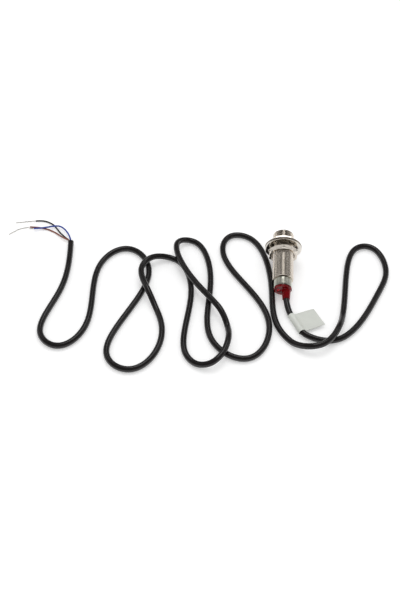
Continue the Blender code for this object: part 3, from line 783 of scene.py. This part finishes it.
def make_label(path, run):
    """A film label folded round the cable and stuck to itself as a flag, which curls a little."""
    first, last = (Vector(p) for p in along(path, run, [LABEL_START - EASE, LABEL_END + EASE]))
    ahead = (last - first).normalized()
    out = Vector((0, 0, 1)).cross(ahead).normalized()
    turn = Matrix((out, ahead.cross(out), ahead)).transposed().to_4x4()
    frame_matrix = Matrix.Translation(first.lerp(last, 0.5)) @ turn

    bore = CABLE_R + LABEL_GAP
    skin = bore + LABEL_T
    pinch = 1.6 * MM                 # length in which the two layers come together
    flag_end = CABLE_R + 0.5 * MM + LABEL_FLAG
    wrap = math.radians(38)
    flat = np.linspace(skin * math.cos(wrap) + pinch, flag_end, 24)
    sleeve = np.linspace(wrap, 2 * math.pi - wrap, 41)

    def section(layer_r, layer_y):
        """The film's path round the cable, from the flag's edge and back to it."""
        top = [(x, layer_y) for x in flat[::-1]]
        wrap_points = [(layer_r * math.cos(t), layer_r * math.sin(t)) for t in sleeve]
        bottom = [(x, -layer_y) for x in flat]
        return top + wrap_points + bottom

    outer = section(skin, LABEL_T)
    inner = section(bore, 0.01 * MM)
    length = LABEL_END - LABEL_START
    stations = np.linspace(-0.5 * length, 0.5 * length, 13)
    count = len(outer)

    def curl(x, z):
        """The flag droops from the cable, and its far corner lifts."""
        reach = max(0.0, (x - skin) / LABEL_FLAG)
        side = z / length
        return (-1.5 * reach * (1 - 0.45 * reach) + 1.1 * reach ** 2 * side
                + 0.12 * math.sin(5 * reach + 4 * side) * reach) * MM

    points = [(x, y + curl(x, z), z) for z in stations for x, y in outer]
    points += [(x, y + curl(x, z), z) for z in stations for x, y in inner]
    faces = []
    shell = len(stations) * count
    for s in range(len(stations) - 1):
        for i in range(count - 1):
            a, b = s * count + i, (s + 1) * count + i
            faces.append((a, a + 1, b + 1, b))
            faces.append((shell + a, shell + b, shell + b + 1, shell + a + 1))
    for row in (0, (len(stations) - 1) * count):
        for i in range(count - 1):
            faces.append((row + i, row + i + 1, shell + row + i + 1, shell + row + i))
    for column in (0, count - 1):
        for s in range(len(stations) - 1):
            a, b = s * count + column, (s + 1) * count + column
            faces.append((a, b, shell + b, shell + a))
    mesh = mesh_of("label", points, faces)
    return place("label_flag", mesh, "label_film", nodes=["flag_label"], matrix=frame_matrix)


def make_strands(colour):
    """Seven tinned strands twisted together, as one lobed bar along its route."""
    path = spline(np.array(STRANDS[colour]) * MM, 60)
    run = np.concatenate([[0.0], np.cumsum(np.linalg.norm(np.diff(path, axis=0), axis=1))])
    lobes, count, lay = 6, 24, 4.0 * MM
    points = []
    for i, centre in enumerate(path):
        ahead = path[min(i + 1, len(path) - 1)] - path[max(i - 1, 0)]
        ahead /= np.linalg.norm(ahead)
        side = np.cross((0, 0, 1), ahead)
        side /= np.linalg.norm(side)
        up = np.cross(ahead, side)
        taper = min(1.0, 0.6 + (run[-1] - run[i]) / MM)
        for t in np.arange(count) * 2 * math.pi / count:
            twist = t + 2 * math.pi * run[i] / lay
            r = STRAND_R * taper * (0.86 + 0.14 * abs(math.sin(0.5 * lobes * t)))
            points.append(centre + r * (math.cos(twist) * side + math.sin(twist) * up))
    last = (len(path) - 1) * count
    faces = band(len(path), count) + [tuple(range(count)), tuple(range(last, last + count))]
    mesh = mesh_of("strands_" + colour, points, faces, sharp=80.0)
    return place("bare_" + colour, mesh, "tinned_metal", nodes=["strands_" + colour],
                 matrix=Matrix.Identity(4))


def make_cords():
    path, run = cable_path()
    label = make_label(path, run)
    smooth_path = straightened(path, run)
    jacket = tube("cable_jacket", smooth_path[::2], CABLE_R, "cable_jacket", ["cable"], 10)
    for colour, places in WIRES.items():
        core_path = spline(np.array(places) * MM, 60)
        wire = tube("core_" + colour, core_path, WIRE_R, "core_" + colour, ["wire_" + colour], 6)
        bare = make_strands(colour)


# ---------------------------------------------------------------- pieces that stay as the CAD has them
CAD_FINISHES = {
    "lens_seal": "rubber_seal", "rear_gasket": "rubber_seal", "optics_holder": "black_plastic",
    "emitter_led": "diode_epoxy", "receiver_photodiode": "diode_epoxy",
    "circuit_board": "board_laminate", "sensor_chip": "component_black",
    "output_transistor": "component_black", "voltage_regulator": "component_black",
    "filter_capacitor": "tinned_metal", "trimmer_body": "trimmer_plastic",
    "status_led": "diode_epoxy", "cable_clamp": "tinned_metal", "lead_brown": "core_brown",
    "lead_blue": "core_blue", "lead_black": "core_black",
}


def finish_cad_nodes():
    for node, finish in CAD_FINISHES.items():
        kept = frame["nodes"][node]
        kept.data.materials.clear()
        kept.data.materials.append(FINISHES[finish])


make_camera()
make_cords()
make_studio()
make_barrel()
make_nut("front_hex_nut", FRONT_NUT_Z, False, "front_nut_body", "front_nut")
make_nut("rear_hex_nut", REAR_NUT_Z, True, "rear_nut_body", "rear_nut")
make_washer("front_lock_washer", FRONT_WASHER_Z, FRONT_FIRST_TOOTH, "front_washer_carrier",
            "front_washer")
make_washer("rear_lock_washer", REAR_WASHER_Z, REAR_FIRST_TOOTH, "rear_washer_carrier",
            "rear_washer")
make_window()
make_cap()
make_adjuster()
finish_cad_nodes()
bpy.context.scene.view_settings.view_transform = "Standard"
